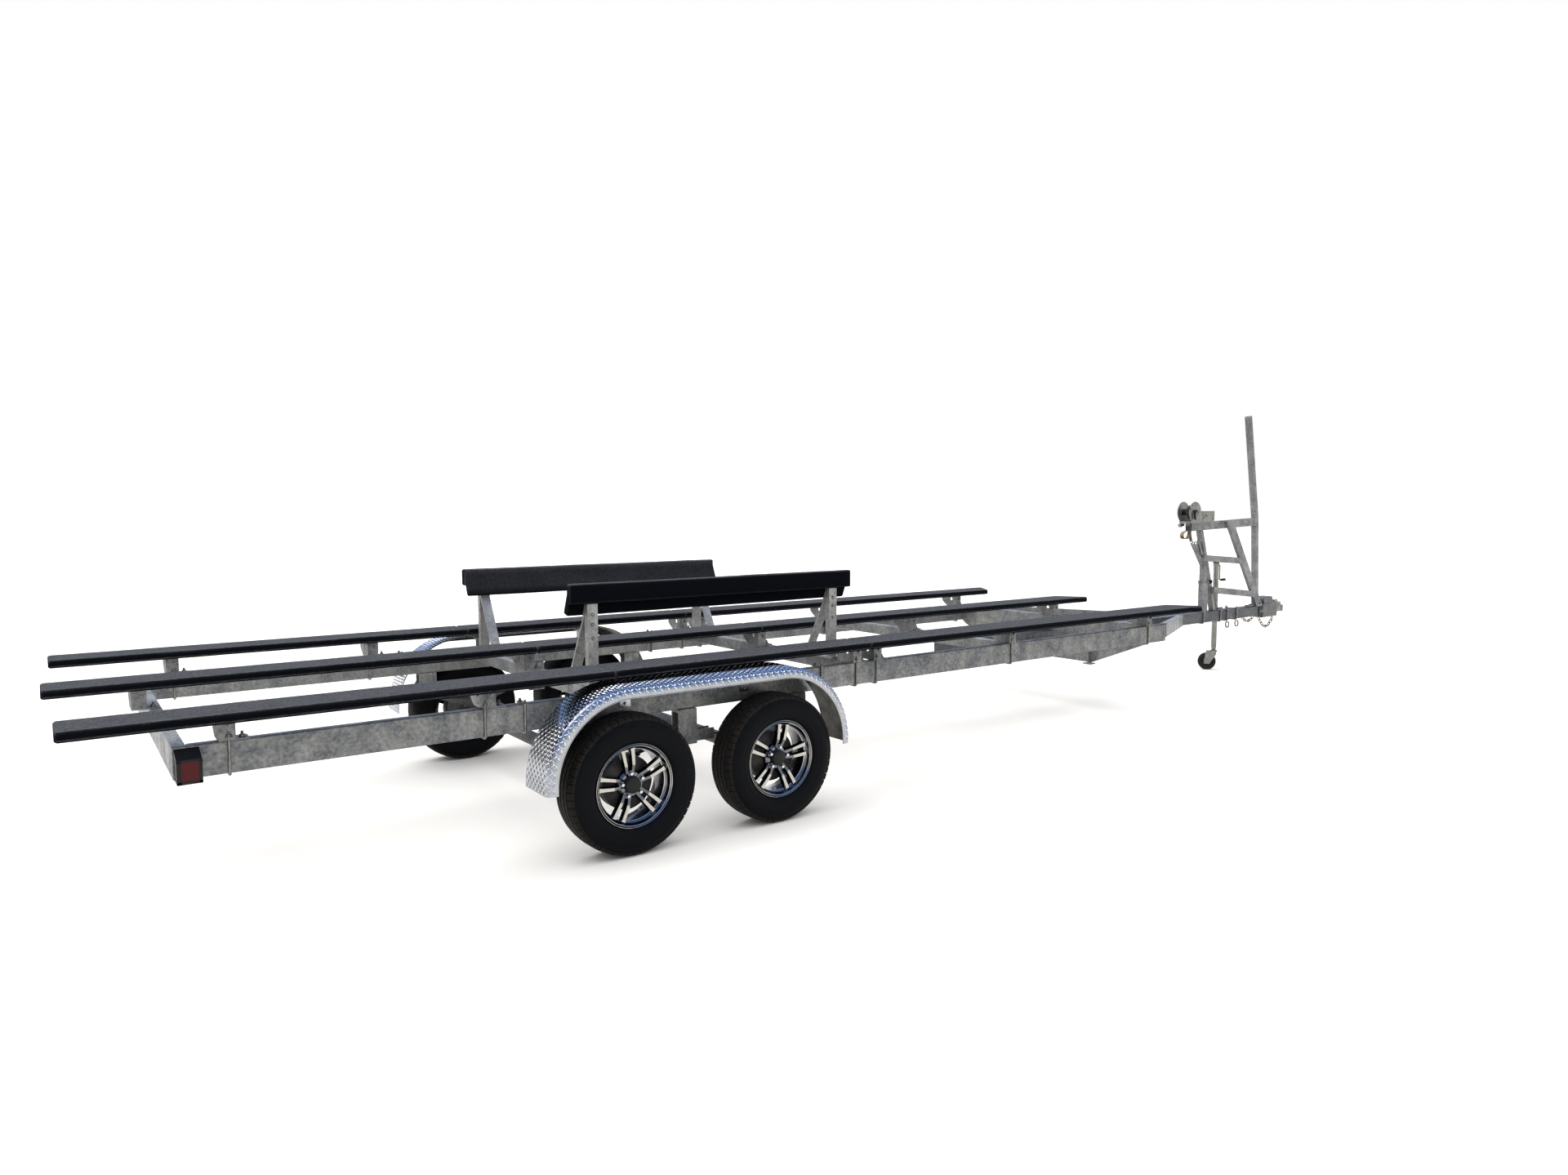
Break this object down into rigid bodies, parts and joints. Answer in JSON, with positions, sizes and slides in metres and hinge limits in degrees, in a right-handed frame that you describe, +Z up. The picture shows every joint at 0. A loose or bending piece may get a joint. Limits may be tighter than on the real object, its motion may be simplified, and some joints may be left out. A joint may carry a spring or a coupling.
{
  "type": "tandem-axle bunk trailer for a three-hull pontoon boat",
  "caption": "Galvanised tandem-axle boat trailer with carpeted bunks, side guide boards, fenders, winch stand with mast, and a caster jack.",
  "frame": {"origin": "on the floor, under the middle of the overall length, on the centreline", "axes": "+X forward to the coupler, +Y to the left-hand side, +Z up"},
  "size_m": [10.761, 2.586, 2.5796],
  "materials": {
    "galvanised": "matt",
    "tread_plate": "satin",
    "zinc_plate": "satin",
    "dark_steel": "matt",
    "drum_steel": "matt",
    "wheel_alloy": "polished",
    "tyre": "matt",
    "carpet": "matt",
    "black_plastic": "matt",
    "lamp_red": "gloss",
    "strap_web": "matt",
    "caster_rubber": "matt",
    "painted_grey": "satin",
    "chain_zinc": "satin"
  },
  "bodies": {
    "frame": {"axle_front": "dark_steel", "axle_rear": "dark_steel", "brake_actuator": "painted_grey", "bunk_brackets_centre": "galvanised", "bunk_brackets_left": "galvanised", "bunk_brackets_right": "galvanised", "bunk_centre": "carpet", "bunk_left": "carpet", "bunk_right": "carpet", "coupler": "zinc_plate", "coupler_latch": "zinc_plate", "crossmember_drop": "galvanised", "crossmember_front": "galvanised", "crossmember_rear": "galvanised", "crossmembers_middle": "galvanised", "drawbar_brace_left": "galvanised", "drawbar_brace_right": "galvanised", "fender_left": "tread_plate", "fender_right": "tread_plate", "guide_board_left": "carpet", "guide_board_right": "carpet", "guide_posts_left": "galvanised", "guide_posts_right": "galvanised", "jack_crank": "zinc_plate", "jack_sleeve": "zinc_plate", "lamp_lens_left": "lamp_red", "lamp_lens_right": "lamp_red", "leaf_springs_left": "dark_steel", "leaf_springs_right": "dark_steel", "mast": "galvanised", "safety_chains": "chain_zinc", "side_rail_left": "galvanised", "side_rail_right": "galvanised", "spring_hangers_left": "galvanised", "spring_hangers_right": "galvanised", "step_frame": "galvanised", "tail_lamp_left": "black_plastic", "tail_lamp_right": "black_plastic", "tongue": "galvanised", "winch_arm": "galvanised", "winch_crank": "zinc_plate", "winch_drum": "strap_web", "winch_frame": "zinc_plate", "winch_leg": "galvanised", "winch_post": "galvanised"},
    "wheel_rear_left": {"tyre_rear_left": "tyre", "rim_rear_left": "wheel_alloy", "hub_rear_left": "drum_steel"},
    "wheel_front_left": {"tyre_front_left": "tyre", "rim_front_left": "wheel_alloy", "hub_front_left": "drum_steel"},
    "wheel_rear_right": {"tyre_rear_right": "tyre", "rim_rear_right": "wheel_alloy", "hub_rear_right": "drum_steel"},
    "wheel_front_right": {"tyre_front_right": "tyre", "rim_front_right": "wheel_alloy", "hub_front_right": "drum_steel"},
    "jack_leg": {"jack_leg": "zinc_plate"},
    "caster_fork": {"caster_fork": "zinc_plate"},
    "caster_wheel": {"caster_wheel": "caster_rubber"}
  },
  "joints": [
    {"name": "wheel_rear_left_spin", "type": "hinge", "parent": "frame", "child": "wheel_rear_left", "pos_m": [-3.1055, 1.183, 0.344], "axis": [0, 1, 0], "continuous": true},
    {"name": "wheel_front_left_spin", "type": "hinge", "parent": "frame", "child": "wheel_front_left", "pos_m": [-2.2355, 1.183, 0.344], "axis": [0, 1, 0], "continuous": true},
    {"name": "wheel_rear_right_spin", "type": "hinge", "parent": "frame", "child": "wheel_rear_right", "pos_m": [-3.1055, -1.183, 0.344], "axis": [0, 1, 0], "continuous": true},
    {"name": "wheel_front_right_spin", "type": "hinge", "parent": "frame", "child": "wheel_front_right", "pos_m": [-2.2355, -1.183, 0.344], "axis": [0, 1, 0], "continuous": true},
    {"name": "jack_slide", "type": "slide", "parent": "frame", "child": "jack_leg", "axis": [0, 0, -1], "range_m": [0, 0.25]},
    {"name": "caster_swivel", "type": "hinge", "parent": "jack_leg", "child": "caster_fork", "pos_m": [4.2405, 0.089, 0.2], "axis": [0, 0, 1], "continuous": true},
    {"name": "caster_spin", "type": "hinge", "parent": "caster_fork", "child": "caster_wheel", "pos_m": [4.20885, 0.14231, 0.086], "axis": [0.8599, 0.5105, 0], "continuous": true}
  ]
}
